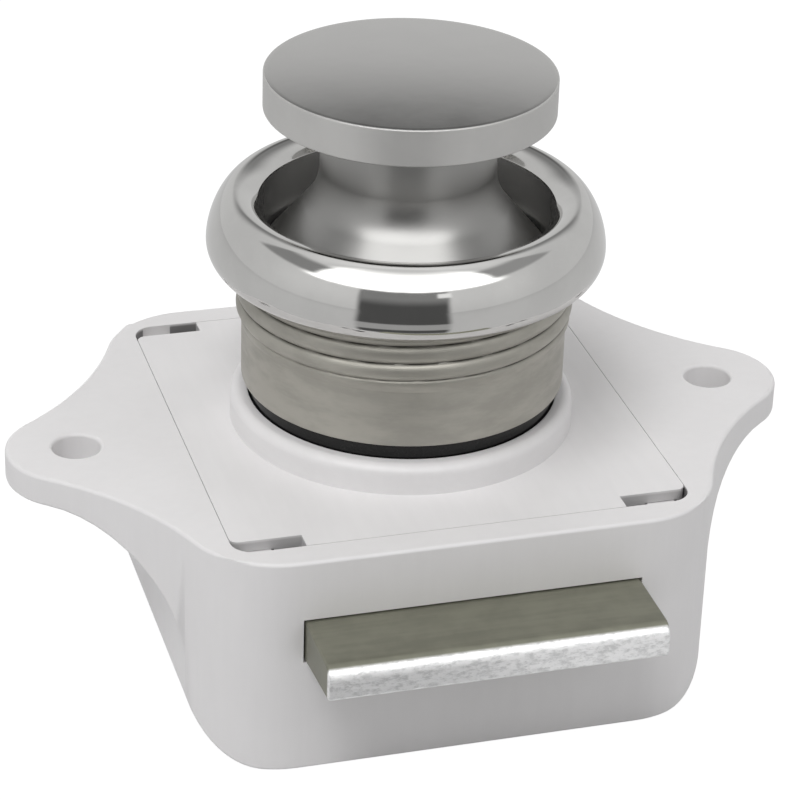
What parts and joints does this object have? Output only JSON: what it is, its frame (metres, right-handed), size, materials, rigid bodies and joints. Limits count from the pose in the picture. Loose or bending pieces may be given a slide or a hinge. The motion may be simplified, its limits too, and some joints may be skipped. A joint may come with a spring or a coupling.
{
  "type": "pushbutton latch",
  "caption": "Cabinet door latch with a push-and-pop-out knob in a round rosette on a threaded sleeve, and a sprung bolt in a moulded case with two screw ears.",
  "frame": {"origin": "on the knob's axis, in the plane of the case's door face, midway between the two screw holes", "axes": "+Z along the knob's axis, out of the door; +X to the right screw ear; -Y to the bolt"},
  "size_m": [0.0606, 0.0467, 0.0454],
  "materials": {
    "case_plastic": "pale grey moulded plastic, matt",
    "cover_plastic": "pale grey moulded plastic, smooth",
    "bush_plastic": "black moulded plastic",
    "black_rubber": "glossy black ring",
    "turned_nickel": "turned, satin nickel plate",
    "polished_chrome": "mirror-polished nickel and chrome plate",
    "screw_steel": "zinc-plated steel",
    "plunger_plastic": "natural acetal",
    "track_plastic": "natural nylon",
    "spring_steel": "drawn spring steel",
    "zinc_steel": "zinc-plated steel"
  },
  "bodies": {
    "case": {"housing": "case_plastic", "cover": "cover_plastic", "guide_bush": "bush_plastic", "bush_clip": "spring_steel", "seal_ring": "black_rubber", "threaded_sleeve": "turned_nickel", "rosette": "polished_chrome", "follower_clip": "spring_steel", "return_spring": "spring_steel", "bolt_spring_left": "spring_steel", "bolt_spring_right": "spring_steel"},
    "button": {"knob": "polished_chrome", "knob_screw": "screw_steel", "knob_washer": "screw_steel", "plunger": "plunger_plastic", "cam_track": "track_plastic"},
    "bolt_body": {"bolt": "zinc_steel", "spring_pin_left": "screw_steel", "spring_pin_right": "screw_steel"},
    "follower": {"cam_follower": "spring_steel"}
  },
  "joints": [
    {"name": "knob_slide", "type": "slide", "parent": "case", "child": "button", "axis": [0, 0, 1], "range_m": [-0.0104, 0], "stiffness_N_per_m": 250, "springref_m": 0.004, "deforming": ["return_spring"]},
    {"name": "bolt_slide", "type": "slide", "parent": "case", "child": "bolt_body", "axis": [0, 1, 0], "range_m": [0, 0.0065], "stiffness_N_per_m": 400, "springref_m": -0.003, "deforming": ["bolt_spring_left", "bolt_spring_right"]},
    {"name": "follower_swing", "type": "hinge", "parent": "case", "child": "follower", "pos_m": [0, 0.0072, -0.014], "axis": [0, 1, 0], "range_deg": [0, 6.05]}
  ],
  "couplings": [
    {"joint": "follower_swing", "follows": "knob_slide", "rad_per_m": -10.069}
  ]
}
